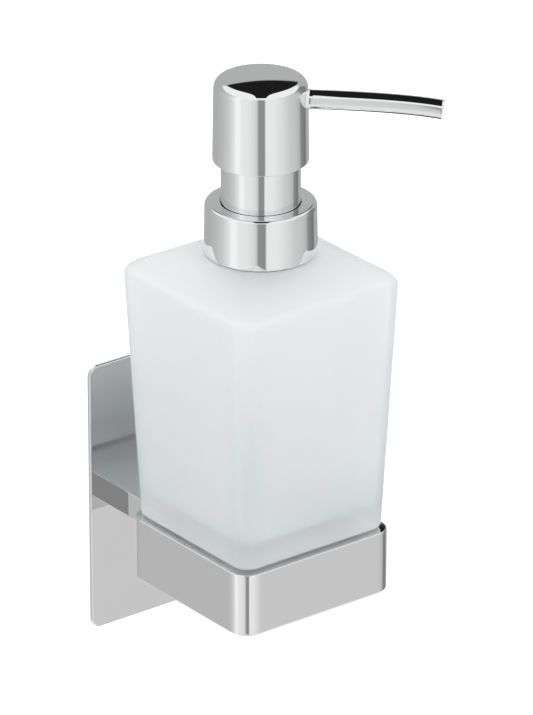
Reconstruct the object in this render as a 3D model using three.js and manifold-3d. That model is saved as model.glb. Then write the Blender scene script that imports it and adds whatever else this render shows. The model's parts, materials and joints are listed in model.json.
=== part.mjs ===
// Wall mounted soap dispenser: a steel holder, a square glass bottle and a lotion pump with a turning spout.
// Millimetres. +Z is up, +Y points into the wall and -Y points to the user.
// The origin is the centre of the adhesive pad's wall face, level with the middle of the bracket arm.

import * as THREE from "three";
import { mergeVertices } from "three/addons/utils/BufferGeometryUtils.js";
import Module from "manifold-3d";

const wasm = await Module();
wasm.setup();

// ---------------------------------------------------------------- driving dimensions

const SEAM = 0.3; // left between two pieces that touch
const SLIDE = 0.3; // radial room where one piece slides or turns in another

const plate = { width: 56.4, height: 91, thickness: 1.3, corner: 3.5 };
const pad = { inset: 2, thickness: 1 };
const arm = { width: 41.4, height: 8.5, length: 21.4 };
const band = { ledge: 1.85, height: 21.1, wall: 1.2, corner: 6.8, flange: 1.5, plugRoom: 0.8 }; // ledge: outside the bottle
const tray = { thickness: 1, drainRadius: 14 };

const bottle = {
  rimWidth: 56.2, // across the flats, level with the band's top edge
  flare: 0.083, // growth of that width per millimetre of height
  bodyHeight: 84.1, // foot to shoulder edge
  shoulderRise: 7.3,
  corner: 5.2,
  wall: 3,
  baseThickness: 7.5,
  footRounding: 2.4,
  plugInset: 5.5, // the plug under the foot is narrower by this much all round
  plugCorner: 3.2,
  plugDepth: 8,
  shoulderRounding: 1.6,
  landRoom: 0.3, // of the flat land round the neck, outside the collar
  neckRadius: 12.6,
  neckBore: 9.6,
  neckHeight: 10,
};
const thread = { pitch: 4, turns: 0.92, start: 3.2, ridge: 1, capRidge: 0.85 }; // start: above the neck's base

const gasket = { thickness: 0.8 };
const flange = { overlap: 0.3, thickness: 1.2 }; // overlap: past the gasket
const capTop = 1; // thickness of the closure's top wall
const cap = { wall: 1.7, threadRoom: 1.6 };
const collar = { wall: 1, room: 0.6, taper: 0.25, topWall: 1, rounding: 1.2 }; // room: round the cap
const sleeve = { radius: 12.25, wall: 0.9, flangeRoom: 0.85, flangeThickness: 1, hidden: 1.5 };

const barrel = { bore: 7, wall: 1, chamber: 34 }; // chamber: from the flange's top to its floor
const ball = { radius: 2.1, lift: 1.2, seatRadius: 1.4 };
const socket = { depth: 7.2, wall: 1 };
const dipTube = { radius: 2.5, wall: 0.6, floorGap: 1.6, seated: 6.4 };
const chaplet = { plug: 4, cap: 2.6, radius: 9.8 };
const piston = { height: 5, slip: 1, lip: 0.9 };
const stem = { radius: 3.5, bore: 2, shoulderReach: 1.1, shoulder: 0.5, tail: 2.4 };
const stemTip = { room: 1.2, thickness: 1.2, peg: 4 };
const spring = { wire: 0.8, room: 2, turns: 7 };

const head = {
  room: 1.65, // between the guide sleeve and the head's bottom edge
  taper: 0.4, // how much narrower it is under the crown's rounding
  height: 26.8, // bottom edge to the middle of the crown
  crown: 0.4, // rise of the crown inside its rounded rim
  rounding: 3,
  wall: 0.9,
  restGap: 0.3, // left between it and the collar when it is pressed
};
const stroke = 13.5;
const core = { room: 0.5, socketWall: 1.6, lift: 3, topGap: 2.8, floorGap: 0.7, seat: 2.2 };
const spout = {
  radius: 3,
  wall: 0.6,
  reach: 55.5, // from the pump's axis to the open end
  root: 8, // where the tube ends inside the head
  drop: 1.5, // of its open end below its root
  bendAt: 42, // distance from the axis of the point that shapes the droop
  bendDrop: -0.6, // negative: the tube rises a little before it droops
  cover: 3.7, // from the crown down to the tube at its root
  turned: -44, // degrees about +Z from the +X direction
};
const liner = { wall: 0.8, root: 5.5, short: 0.6 };

// ---------------------------------------------------------------- heights and depths worked out from them

const plateBack = -pad.thickness - SEAM;
const plateFront = plateBack - plate.thickness;
const bandWidth = bottle.rimWidth + 2 * band.ledge;
const bandBack = plateFront - arm.length;
const bandCentre = bandBack - bandWidth / 2;

const rimZ = arm.height / 2;
const bandBottom = rimZ - band.height;
const footZ = rimZ + SEAM;
const plugBottom = footZ - bottle.plugDepth;
const shoulderZ = footZ + bottle.bodyHeight;
const neckBaseZ = shoulderZ + bottle.shoulderRise;
const neckTopZ = neckBaseZ + bottle.neckHeight;
const gasketTop = neckTopZ + SEAM + gasket.thickness;
const flangeTop = gasketTop + SEAM + flange.thickness;
const capTopZ = flangeTop + SEAM + capTop;
const sleeveFlangeTop = capTopZ + SEAM + sleeve.flangeThickness;
const collarTop = sleeveFlangeTop + SEAM + collar.topWall;
const collarBottom = neckBaseZ + SEAM;

const chamberFloor = flangeTop - barrel.chamber;
const pocketTop = chamberFloor - 0.8;
const pocketBottom = pocketTop - 2 * ball.radius - ball.lift - 2 * SEAM;
const seatBottom = pocketBottom - 1.8;
const socketBottom = seatBottom - socket.depth;

const shoulderTop = flangeTop - chaplet.plug - SEAM;
const pistonTop = shoulderTop - stem.shoulder - SEAM - piston.slip;
const pistonBottom = pistonTop - piston.height;
const tipTop = pistonBottom - SEAM;
const springTop = tipTop - stemTip.thickness - SEAM;
const springBottom = chamberFloor + SEAM;

const headBottom = collarTop + stroke + head.restGap;
const crownZ = headBottom + head.height;
const sleeveTop = headBottom + sleeve.hidden;
const spoutZ = crownZ - spout.cover - spout.radius;
const coreFloor = sleeveTop + stroke + core.floorGap;
const stemTop = coreFloor + core.seat;

const bottleWidth = (z) => bottle.rimWidth + bottle.flare * (z - rimZ);
const plugWidth = bottleWidth(footZ) - 2 * bottle.plugInset;
const bandOpening = plugWidth + 2 * band.plugRoom;
const capBore = bottle.neckRadius + cap.threadRoom;
const capRadius = capBore + cap.wall;
const collarRadius = capRadius + collar.room + collar.wall;
const collarTopRadius = collarRadius - collar.taper;
const landRadius = collarRadius + bottle.landRoom;
const headRadius = sleeve.radius + head.room + head.wall;
const headTopRadius = headRadius - head.taper;
const socketRadius = dipTube.radius + SLIDE + socket.wall;
const linerRadius = spout.radius - spout.wall - SEAM;

const CORNER_STEPS = 8;
const FINE = 40; // sides of a round piece that shows
const PLAIN = 28; // sides of a round piece inside

// ---------------------------------------------------------------- shaping tools

function toSolid(geometry) {
  const bare = geometry.clone();
  bare.deleteAttribute("normal");
  bare.deleteAttribute("uv");
  const merged = mergeVertices(bare, 1e-4);
  return new wasm.Manifold(
    new wasm.Mesh({
      numProp: 3,
      vertProperties: new Float32Array(merged.attributes.position.array),
      triVerts: new Uint32Array(merged.index.array),
    }),
  );
}

function toGeometry(solid) {
  const mesh = solid.getMesh();
  const geometry = new THREE.BufferGeometry();
  geometry.setAttribute("position", new THREE.BufferAttribute(mesh.vertProperties, 3));
  geometry.setIndex(new THREE.BufferAttribute(mesh.triVerts, 1));
  geometry.computeVertexNormals();
  return geometry;
}

const cut = (geometry, ...tools) =>
  toGeometry(tools.reduce((solid, tool) => solid.subtract(toSolid(tool)), toSolid(geometry)));

const join = (geometry, ...others) =>
  toGeometry(others.reduce((solid, other) => solid.add(toSolid(other)), toSolid(geometry)));

// Turns an outline of [radius, height] points about +Z. The outline runs clockwise seen with +Z up and
// the axis on its left, and either closes on itself or starts and ends on the axis.
function turned(outline, sides) {
  const points = outline.map(([radius, height]) => new THREE.Vector2(radius, height));
  const onAxis = points[0].x === 0;
  if (!onAxis) points.push(points[0].clone());
  return new THREE.LatheGeometry(points, sides).rotateX(Math.PI / 2);
}

// Points of a quarter turn between two angles in degrees, as [radius, height] pairs.
function arc(centreRadius, centreHeight, radius, from, to, steps = 3) {
  return Array.from({ length: steps + 1 }, (_, i) => {
    const angle = THREE.MathUtils.degToRad(THREE.MathUtils.lerp(from, to, i / steps));
    return [centreRadius + radius * Math.cos(angle), centreHeight + radius * Math.sin(angle)];
  });
}

function tubeRing(outer, inner, bottom, top, sides) {
  return turned([[inner, bottom], [outer, bottom], [outer, top], [inner, top]], sides);
}

function roundedOutline(Kind, width, height, corner) {
  const [x, y] = [width / 2, height / 2];
  const outline = new Kind();
  outline.moveTo(-x + corner, -y);
  outline.lineTo(x - corner, -y);
  outline.absarc(x - corner, -y + corner, corner, -Math.PI / 2, 0);
  outline.lineTo(x, y - corner);
  outline.absarc(x - corner, y - corner, corner, 0, Math.PI / 2);
  outline.lineTo(-x + corner, y);
  outline.absarc(-x + corner, y - corner, corner, Math.PI / 2, Math.PI);
  outline.lineTo(-x, -y + corner);
  outline.absarc(-x + corner, -y + corner, corner, Math.PI, 1.5 * Math.PI);
  return outline;
}

// curveSegments counts the steps of half an arc, so an arc of any length has twice as many sides.
function slab(shape, depth, steps = CORNER_STEPS) {
  return new THREE.ExtrudeGeometry(shape, { depth, bevelEnabled: false, curveSegments: steps / 2 });
}

// One level of a rounded square about the axis: every level has the same number of points, so a circle
// is the level whose corner radius is half its width.
function level([width, corner, z]) {
  const flat = width / 2 - corner;
  return Array.from({ length: 4 * CORNER_STEPS }, (_, i) => {
    const quarter = Math.floor(i / CORNER_STEPS);
    const angle = ((i + 0.5) / CORNER_STEPS) * (Math.PI / 2);
    const sideX = quarter === 0 || quarter === 3 ? 1 : -1;
    const sideY = quarter < 2 ? 1 : -1;
    return [sideX * flat + corner * Math.cos(angle), sideY * flat + corner * Math.sin(angle), z];
  });
}

// A closed body through a stack of levels, from the lowest to the highest.
function lofted(levels) {
  const rings = levels.map(level);
  const count = rings[0].length;
  const top = (rings.length - 1) * count;
  const faces = [];
  for (let row = 0; row < rings.length - 1; row++) {
    for (let i = 0; i < count; i++) {
      const [a, b] = [row * count + i, row * count + ((i + 1) % count)];
      faces.push(a, b, b + count, a, b + count, a + count);
    }
  }
  for (let i = 1; i < count - 1; i++) {
    faces.push(0, i + 1, i);
    faces.push(top, top + i, top + i + 1);
  }
  const geometry = new THREE.BufferGeometry();
  geometry.setAttribute("position", new THREE.Float32BufferAttribute(rings.flat(2), 3));
  geometry.setIndex(faces);
  return geometry;
}

function roundShape(radius, bore) {
  const shape = new THREE.Shape().absarc(0, 0, radius, 0, 2 * Math.PI);
  if (bore) shape.holes.push(new THREE.Path().absarc(0, 0, bore, 0, 2 * Math.PI, true));
  return shape;
}

function swept(curve, radius, bore, sides, steps) {
  return new THREE.ExtrudeGeometry(roundShape(radius, bore), {
    extrudePath: curve,
    steps,
    curveSegments: sides / 2,
    bevelEnabled: false,
  });
}

class Helix extends THREE.Curve {
  constructor(radius, bottom, rise, turns) {
    super();
    Object.assign(this, { radius, bottom, rise, turns });
  }

  getPoint(t, target = new THREE.Vector3()) {
    const angle = 2 * Math.PI * this.turns * t;
    return target.set(
      this.radius * Math.cos(angle),
      this.radius * Math.sin(angle),
      this.bottom + this.rise * t,
    );
  }
}

function threadRidge(radius, bottom, size) {
  const path = new Helix(radius, bottom, thread.pitch * thread.turns, thread.turns);
  return swept(path, size, 0, 8, 26);
}

function rodAlongX(radius, from, to, z) {
  return new THREE.CylinderGeometry(radius, radius, to - from, PLAIN)
    .rotateZ(Math.PI / 2)
    .translate((from + to) / 2, 0, z);
}

// ---------------------------------------------------------------- materials

const finish = (color, roughness, metalness) =>
  new THREE.MeshStandardMaterial({ color, roughness, metalness });

const polishedSteel = finish(0xc9cacc, 0.12, 1);
const chrome = finish(0xe4e6e8, 0.05, 1);
const springSteel = finish(0xb4b6b8, 0.3, 1);
const frostedGlass = new THREE.MeshStandardMaterial({
  color: 0xe6e9e9,
  roughness: 0.6,
  metalness: 0,
  transparent: true,
  opacity: 0.6,
});
const whitePlastic = finish(0xf0f0ec, 0.4, 0);
const clearPlastic = finish(0xe2e8e8, 0.35, 0);
const greyFoam = finish(0x8e9092, 0.9, 0);
const greyRubber = finish(0xb9bab6, 0.7, 0);

function piece(name, geometry, material) {
  const mesh = new THREE.Mesh(geometry, material);
  mesh.name = name;
  return mesh;
}

// ---------------------------------------------------------------- wall holder

function adhesivePad() {
  const [width, height] = [plate.width - 2 * pad.inset, plate.height - 2 * pad.inset];
  const shape = roundedOutline(THREE.Shape, width, height, plate.corner);
  const mesh = piece("adhesive_pad", slab(shape, pad.thickness), greyFoam);
  mesh.rotation.x = Math.PI / 2;
  return mesh;
}

function backPlate() {
  const shape = roundedOutline(THREE.Shape, plate.width, plate.height, plate.corner);
  const mesh = piece("back_plate", slab(shape, plate.thickness), polishedSteel);
  mesh.rotation.x = Math.PI / 2;
  mesh.position.y = plateBack;
  return mesh;
}

function bracketArm() {
  const length = arm.length - 2 * SEAM;
  const mesh = piece(
    "bracket_arm",
    new THREE.BoxGeometry(arm.width, length, arm.height),
    polishedSteel,
  );
  mesh.position.y = plateFront - arm.length / 2;
  return mesh;
}

// A skirt with a flange inward along its top, which carries the bottle's foot.
function holderBand() {
  const shape = roundedOutline(THREE.Shape, bandWidth, bandWidth, band.corner);
  const corner = bottle.plugCorner + band.plugRoom;
  shape.holes.push(roundedOutline(THREE.Path, bandOpening, bandOpening, corner));
  const inner = bandWidth - 2 * band.wall;
  const room = roundedOutline(THREE.Shape, inner, inner, band.corner - band.wall);
  const pocket = slab(room, band.height - band.flange + 1).translate(0, 0, -1);
  const mesh = piece("holder_band", cut(slab(shape, band.height), pocket), polishedSteel);
  mesh.position.set(0, bandCentre, bandBottom);
  return mesh;
}

function holderFloor() {
  const width = bandWidth - 2 * (band.wall + SEAM);
  const shape = roundedOutline(THREE.Shape, width, width, band.corner - band.wall - SEAM);
  shape.holes.push(new THREE.Path().absarc(0, 0, tray.drainRadius, 0, 2 * Math.PI, true));
  const mesh = piece("holder_floor", slab(shape, tray.thickness, 3 * CORNER_STEPS), polishedSteel);
  mesh.position.set(0, bandCentre, bandBottom);
  return mesh;
}

// ---------------------------------------------------------------- glass bottle

function glassBottle() {
  const { corner, wall, neckRadius, neckBore, plugCorner } = bottle;
  const rounding = bottle.footRounding;
  const soft = bottle.shoulderRounding;
  const footWidth = bottleWidth(footZ);
  const edgeWidth = bottleWidth(shoulderZ);
  const outside = lofted([
    [plugWidth - 1, plugCorner, plugBottom],
    [plugWidth, plugCorner, plugBottom + 0.5],
    [plugWidth, plugCorner, footZ],
    [footWidth - 2 * rounding, corner - rounding / 2, footZ],
    [footWidth - 0.6 * rounding, corner - rounding / 4, footZ + 0.3 * rounding],
    [bottleWidth(footZ + rounding), corner, footZ + rounding],
    [bottleWidth(shoulderZ - soft), corner, shoulderZ - soft],
    [edgeWidth - 0.5 * soft, corner, shoulderZ - 0.3 * soft],
    [edgeWidth - 2 * soft, corner, shoulderZ + 0.35 * soft],
    [2 * landRadius, landRadius, neckBaseZ],
    [2 * neckRadius, neckRadius, neckBaseZ],
    [2 * neckRadius, neckRadius, neckTopZ],
  ]);
  const floorZ = footZ + bottle.baseThickness;
  const innerCorner = Math.max(corner - wall, 1) + 1;
  const roofZ = neckBaseZ - wall;
  const inside = lofted([
    [bottleWidth(floorZ) - 2 * wall - 2, innerCorner, floorZ],
    [bottleWidth(floorZ + 1) - 2 * wall, innerCorner, floorZ + 1],
    [bottleWidth(shoulderZ - 1) - 2 * wall, innerCorner, shoulderZ - 1],
    [2 * neckBore, neckBore, roofZ],
    [2 * neckBore, neckBore, neckTopZ + 1],
  ]);
  const ridge = threadRidge(neckRadius, neckBaseZ + thread.start, thread.ridge);
  return piece("bottle", cut(join(outside, ridge), inside), frostedGlass);
}

// ---------------------------------------------------------------- screw closure

function closureCap() {
  const bottom = collarBottom + SEAM;
  const body = turned(
    [
      [capBore, bottom],
      [capRadius, bottom],
      [capRadius, capTopZ],
      [chaplet.radius + SLIDE, capTopZ],
      [chaplet.radius + SLIDE, capTopZ - capTop],
      [capBore, capTopZ - capTop],
    ],
    PLAIN,
  );
  const start = neckBaseZ + thread.start - thread.pitch / 2;
  return piece(
    "closure_cap",
    join(body, threadRidge(capBore, start, thread.capRidge)),
    whitePlastic,
  );
}

function collarShell() {
  const { wall, topWall, rounding } = collar;
  const hole = sleeve.radius + SEAM;
  return piece(
    "collar_shell",
    turned(
      [
        [collarRadius - wall, collarBottom],
        [collarRadius, collarBottom],
        ...arc(collarTopRadius - rounding, collarTop - rounding, rounding, 0, 90),
        [hole, collarTop],
        [hole, collarTop - topWall],
        [collarTopRadius - wall, collarTop - topWall],
      ],
      FINE,
    ),
    chrome,
  );
}

function guideSleeve() {
  const inner = sleeve.radius - sleeve.wall;
  const flangeBottom = sleeveFlangeTop - sleeve.flangeThickness;
  const flangeRadius = collarTopRadius - collar.wall - sleeve.flangeRoom;
  return piece(
    "guide_sleeve",
    turned(
      [
        [inner, flangeBottom],
        [flangeRadius, flangeBottom],
        [flangeRadius, sleeveFlangeTop],
        [sleeve.radius, sleeveFlangeTop],
        [sleeve.radius, sleeveTop],
        [inner, sleeveTop],
      ],
      FINE,
    ),
    chrome,
  );
}

// ---------------------------------------------------------------- pump body

function pumpHousing() {
  const outer = barrel.bore + barrel.wall;
  const flangeRadius = bottle.neckRadius + flange.overlap;
  return piece(
    "pump_housing",
    turned(
      [
        [dipTube.radius + SLIDE, socketBottom],
        [socketRadius, socketBottom],
        [socketRadius, pocketBottom + 1],
        [outer, chamberFloor],
        [outer, flangeTop - flange.thickness],
        [flangeRadius, flangeTop - flange.thickness],
        [flangeRadius, flangeTop],
        [barrel.bore, flangeTop],
        [barrel.bore, chamberFloor],
        [ball.radius - 0.4, chamberFloor],
        [ball.radius - 0.4, pocketTop],
        [ball.radius + 0.4, pocketTop],
        [ball.radius + 0.4, pocketBottom],
        [ball.seatRadius, pocketBottom - 0.8],
        [ball.seatRadius, seatBottom],
        [dipTube.radius + SLIDE, seatBottom],
      ],
      PLAIN,
    ),
    whitePlastic,
  );
}

function neckGasket() {
  const geometry = tubeRing(
    bottle.neckRadius,
    bottle.neckBore,
    gasketTop - gasket.thickness,
    gasketTop,
    PLAIN,
  );
  return piece("neck_gasket", geometry, greyRubber);
}

function chapletRing() {
  const plugRadius = barrel.bore - SEAM;
  const bore = stem.radius + SLIDE;
  return piece(
    "chaplet",
    turned(
      [
        [bore, flangeTop - chaplet.plug],
        [plugRadius, flangeTop - chaplet.plug],
        [plugRadius, flangeTop + SEAM],
        [chaplet.radius, flangeTop + SEAM],
        [chaplet.radius, flangeTop + SEAM + chaplet.cap],
        [bore, flangeTop + SEAM + chaplet.cap],
      ],
      PLAIN,
    ),
    whitePlastic,
  );
}

function dipTubePiece() {
  const bottom = footZ + bottle.baseThickness + dipTube.floorGap;
  const top = socketBottom + dipTube.seated;
  const geometry = tubeRing(
    dipTube.radius,
    dipTube.radius - dipTube.wall,
    bottom,
    top,
    PLAIN / 2,
  );
  return piece("dip_tube", geometry, clearPlastic);
}

function returnSpring() {
  const wire = spring.wire / 2;
  const rise = springTop - springBottom - spring.wire;
  const path = new Helix(barrel.bore - spring.room, springBottom + wire, rise, spring.turns);
  return piece("return_spring", swept(path, wire, 0, 6, spring.turns * 13), springSteel);
}

function inletBall() {
  const seat = Math.sqrt(ball.radius ** 2 - ball.seatRadius ** 2);
  const mesh = piece(
    "inlet_ball",
    new THREE.SphereGeometry(ball.radius, 16, 10),
    springSteel,
  );
  mesh.position.z = pocketBottom - 0.8 + seat + SEAM;
  mesh.rotation.x = Math.PI / 2;
  return mesh;
}

// ---------------------------------------------------------------- plunger

function stemPiece() {
  const { radius, bore, shoulder, tail } = stem;
  const shoulderRadius = radius + stem.shoulderReach;
  return piece(
    "stem",
    turned(
      [
        [bore, pistonBottom + tail],
        [radius, pistonBottom + tail],
        [radius, shoulderTop - shoulder],
        [shoulderRadius, shoulderTop - shoulder],
        [shoulderRadius, shoulderTop],
        [radius, shoulderTop],
        [radius, stemTop],
        [bore, stemTop],
      ],
      PLAIN,
    ),
    whitePlastic,
  );
}

// The tip closes the stem from below, and its flange carries the piston and bears on the spring.
function stemTipPiece() {
  const peg = stem.bore - SEAM;
  const neck = stem.radius - SEAM;
  const radius = barrel.bore - stemTip.room;
  return piece(
    "stem_tip",
    turned(
      [
        [0, tipTop - stemTip.thickness],
        [radius, tipTop - stemTip.thickness],
        [radius, tipTop],
        [neck, tipTop],
        [neck, pistonBottom + stem.tail - SEAM],
        [peg, pistonBottom + stem.tail - SEAM],
        [peg, tipTop + stemTip.peg + stem.tail],
        [0, tipTop + stemTip.peg + stem.tail],
      ],
      PLAIN,
    ),
    whitePlastic,
  );
}

function pistonPiece() {
  const outer = barrel.bore - SLIDE;
  const bore = stem.radius + SLIDE;
  const waist = outer - piston.lip;
  return piece(
    "piston",
    turned(
      [
        [bore, pistonBottom],
        [outer, pistonBottom],
        [outer, pistonBottom + 0.8],
        [waist, pistonBottom + 1.6],
        [waist, pistonTop - 1.6],
        [outer, pistonTop - 0.8],
        [outer, pistonTop],
        [bore, pistonTop],
      ],
      PLAIN,
    ),
    clearPlastic,
  );
}

// ---------------------------------------------------------------- pump head and spout

// The droop of the spout along +X, before the head is turned: from inside the head to its open end,
// or to a point short of that end.
function spoutPath(innerEnd, short) {
  const droop = new THREE.QuadraticBezierCurve3(
    new THREE.Vector3(spout.root, 0, spoutZ),
    new THREE.Vector3(spout.bendAt, 0, spoutZ - spout.bendDrop),
    new THREE.Vector3(spout.reach, 0, spoutZ - spout.drop),
  );
  const last = 1 - short / (2 * (spout.reach - spout.bendAt));
  const points = Array.from({ length: 15 }, (_, i) => droop.getPoint((last * i) / 14));
  if (innerEnd < spout.root) points.unshift(new THREE.Vector3(innerEnd, 0, spoutZ));
  return new THREE.CatmullRomCurve3(points);
}

function spoutHole(radius, from) {
  return rodAlongX(radius, from, headRadius + 2, spoutZ);
}

function headShell() {
  const { rounding, crown, wall } = head;
  const rimZTop = crownZ - crown;
  const shell = turned(
    [
      [0, crownZ - wall],
      ...arc(headTopRadius - rounding, rimZTop - rounding, rounding - wall, 90, 0),
      [headRadius - wall, headBottom],
      [headRadius, headBottom],
      ...arc(headTopRadius - rounding, rimZTop - rounding, rounding, 0, 90, 4),
      [0, crownZ],
    ],
    FINE,
  );
  return piece("head_shell", cut(shell, spoutHole(spout.radius + SEAM, 5)), chrome);
}

function headCore() {
  const bore = stem.radius + SEAM;
  const radius = headTopRadius - head.wall - core.room;
  const body = turned(
    [
      [0, stemTop + SEAM],
      [bore, stemTop + SEAM],
      [bore, headBottom + core.lift],
      [bore + core.socketWall, headBottom + core.lift],
      [bore + core.socketWall, coreFloor],
      [radius, coreFloor],
      [radius, crownZ - core.topGap],
      [0, crownZ - core.topGap],
    ],
    PLAIN,
  );
  const riser = new THREE.CylinderGeometry(stem.bore, stem.bore, 6, PLAIN)
    .rotateX(Math.PI / 2)
    .translate(0, 0, stemTop + 1);
  return piece(
    "head_core",
    cut(
      body,
      riser,
      rodAlongX(linerRadius + SEAM, 0, spout.root, spoutZ),
      spoutHole(spout.radius + SEAM, spout.root - SEAM),
    ),
    whitePlastic,
  );
}

function spoutTube() {
  const path = spoutPath(spout.root, 0);
  return piece(
    "spout_tube",
    swept(path, spout.radius, spout.radius - spout.wall, 16, 14),
    chrome,
  );
}

function spoutLiner() {
  const path = spoutPath(liner.root, liner.short);
  return piece(
    "spout_liner",
    swept(path, linerRadius, linerRadius - liner.wall, 10, 14),
    whitePlastic,
  );
}

// ---------------------------------------------------------------- assembly

const dispenser = new THREE.Group();

const holder = new THREE.Group();
holder.add(adhesivePad(), backPlate(), bracketArm(), holderBand(), holderFloor());

const container = new THREE.Group();
container.position.y = bandCentre;
container.add(glassBottle(), closureCap(), collarShell(), guideSleeve());
container.add(pumpHousing(), neckGasket(), chapletRing(), dipTubePiece(), returnSpring(), inletBall());
container.add(stemPiece(), stemTipPiece(), pistonPiece());

const pumpHead = new THREE.Group();
pumpHead.rotation.z = THREE.MathUtils.degToRad(spout.turned);
pumpHead.add(headShell(), headCore(), spoutTube(), spoutLiner());

container.add(pumpHead);
dispenser.add(holder, container);

export default dispenser;
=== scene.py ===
"""A wall mounted soap dispenser: its smooth pieces, finishes, studio and camera, built around the frame.

Lengths are metres. +Z is up, +Y points into the wall and -Y to the user.
"""

import json
from math import atan2, copysign, cos, pi, radians, sin, tan

import bmesh
import bpy
from bpy.props import FloatProperty, FloatVectorProperty, IntProperty, PointerProperty
from bpy.types import NodeSocket, Operator, Panel, PropertyGroup
from mathutils import Matrix, Vector


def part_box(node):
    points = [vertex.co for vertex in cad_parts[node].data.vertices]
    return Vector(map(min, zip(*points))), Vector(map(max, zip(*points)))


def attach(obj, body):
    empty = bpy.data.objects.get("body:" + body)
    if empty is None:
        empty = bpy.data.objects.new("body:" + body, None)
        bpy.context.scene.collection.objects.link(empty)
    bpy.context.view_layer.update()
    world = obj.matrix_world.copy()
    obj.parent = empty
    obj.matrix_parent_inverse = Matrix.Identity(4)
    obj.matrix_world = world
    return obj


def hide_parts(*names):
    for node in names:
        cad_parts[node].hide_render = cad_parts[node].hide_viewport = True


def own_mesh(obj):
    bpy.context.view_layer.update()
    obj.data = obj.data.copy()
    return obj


bl_info = {
    "name": "Wall Soap Dispenser",
    "version": (1, 0, 0),
    "blender": (4, 5, 0),
    "location": "View3D > Sidebar > Dispenser",
    "description": "Builds a square glass soap bottle with a lotion pump in a steel wall holder",
    "category": "Add Mesh",
}

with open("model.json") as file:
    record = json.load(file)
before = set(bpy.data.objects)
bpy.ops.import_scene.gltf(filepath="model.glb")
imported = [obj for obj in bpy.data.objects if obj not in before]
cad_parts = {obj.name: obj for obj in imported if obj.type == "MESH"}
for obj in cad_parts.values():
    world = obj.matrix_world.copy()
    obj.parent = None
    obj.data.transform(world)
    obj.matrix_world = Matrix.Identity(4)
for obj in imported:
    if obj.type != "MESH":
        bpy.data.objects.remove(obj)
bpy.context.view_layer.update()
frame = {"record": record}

MM = 0.001
SEAM = 0.3 * MM  # what the frame leaves between two pieces that touch
MARGIN = 0.12 * MM  # a flat keeps this strip beside a rounding, so that its shading stays flat
CORNER_STEPS = 12
ROUND_STEPS = 8
TURN_STEPS = 112
CRISP, FINE, SOFT, EASED, ROUND = 0.1 * MM, 0.2 * MM, 0.3 * MM, 0.4 * MM, 0.5 * MM  # roundings of edges

BODY_OF = {node: body for body, nodes in frame["record"]["behaviour"]["bodies"].items() for node in nodes}
SLOT_OF = {part["node"]: part["material_slot"] for part in frame["record"]["subparts"]}


class Extent:
    """Where one node of the frame lies."""

    def __init__(self, node):
        self.low, self.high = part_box(node)
        self.middle = (self.low + self.high) / 2
        self.size = self.high - self.low
        self.bottom, self.top = self.low.z, self.high.z
        self.radius = self.size.x / 2


PAD, PLATE, ARM = Extent("adhesive_pad"), Extent("back_plate"), Extent("bracket_arm")
BAND, TRAY, BOTTLE = Extent("holder_band"), Extent("holder_floor"), Extent("bottle")
CAP, COLLAR, SLEEVE = Extent("closure_cap"), Extent("collar_shell"), Extent("guide_sleeve")
HOUSING, GASKET, CHAPLET = Extent("pump_housing"), Extent("neck_gasket"), Extent("chaplet")
DIP, SPRING, BALL = Extent("dip_tube"), Extent("return_spring"), Extent("inlet_ball")
STEM, TIP, PISTON = Extent("stem"), Extent("stem_tip"), Extent("piston")
HEAD, CORE = Extent("head_shell"), Extent("head_core")
SPOUT, LINER = Extent("spout_tube"), Extent("spout_liner")

AXIS = Vector((BAND.middle.x, BAND.middle.y, 0))
RIM_CENTRE = Vector((AXIS.x, AXIS.y, BAND.top))
ON_AXIS = Matrix.Translation(AXIS)


def a_length(name, description, millimetres):
    return FloatProperty(
        name=name, description=description, default=millimetres * MM, unit="LENGTH", subtype="DISTANCE",
        precision=5,
    )


def an_angle(name, description, degrees):
    return FloatProperty(
        name=name, description=description, default=radians(degrees), unit="ROTATION", subtype="ANGLE"
    )


def a_colour(name, description, default):
    return FloatVectorProperty(
        name=name, description=description, default=default, subtype="COLOR", size=3, min=0, max=1
    )


def a_number(name, description, default):
    return FloatProperty(name=name, description=description, default=default)


# ---------------- sizes, finishes and studio


class HolderSizes(PropertyGroup):
    plate_corner: a_length("Plate corner", "Corner radius of the plate", 3.5)
    plate_edge: a_length("Plate edge", "Rounding of the plate's front edge", 0.35)
    arm_edge: a_length("Arm edge", "Rounding along the arm's edges", 0.35)
    band_corner: a_length("Band corner", "Outer corner radius of the band", 6.8)
    band_wall: a_length("Band wall", "Thickness of the band", 1.2)
    band_flange: a_length("Band flange", "Thickness of the top flange", 1.5)
    plug_room: a_length("Plug room", "Gap round the bottle's plug", 0.8)
    band_slope: a_length("Band slope", "Outward fall of the flange", 0.3)
    band_edge: a_length("Band edge", "Rounding of the band's upper edges", 0.45)
    band_foot: a_length("Band foot", "Rounding of the band's lower edge", 0.9)
    drain_radius: a_length("Drain radius", "Radius of the hole in the floor", 14)


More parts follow.
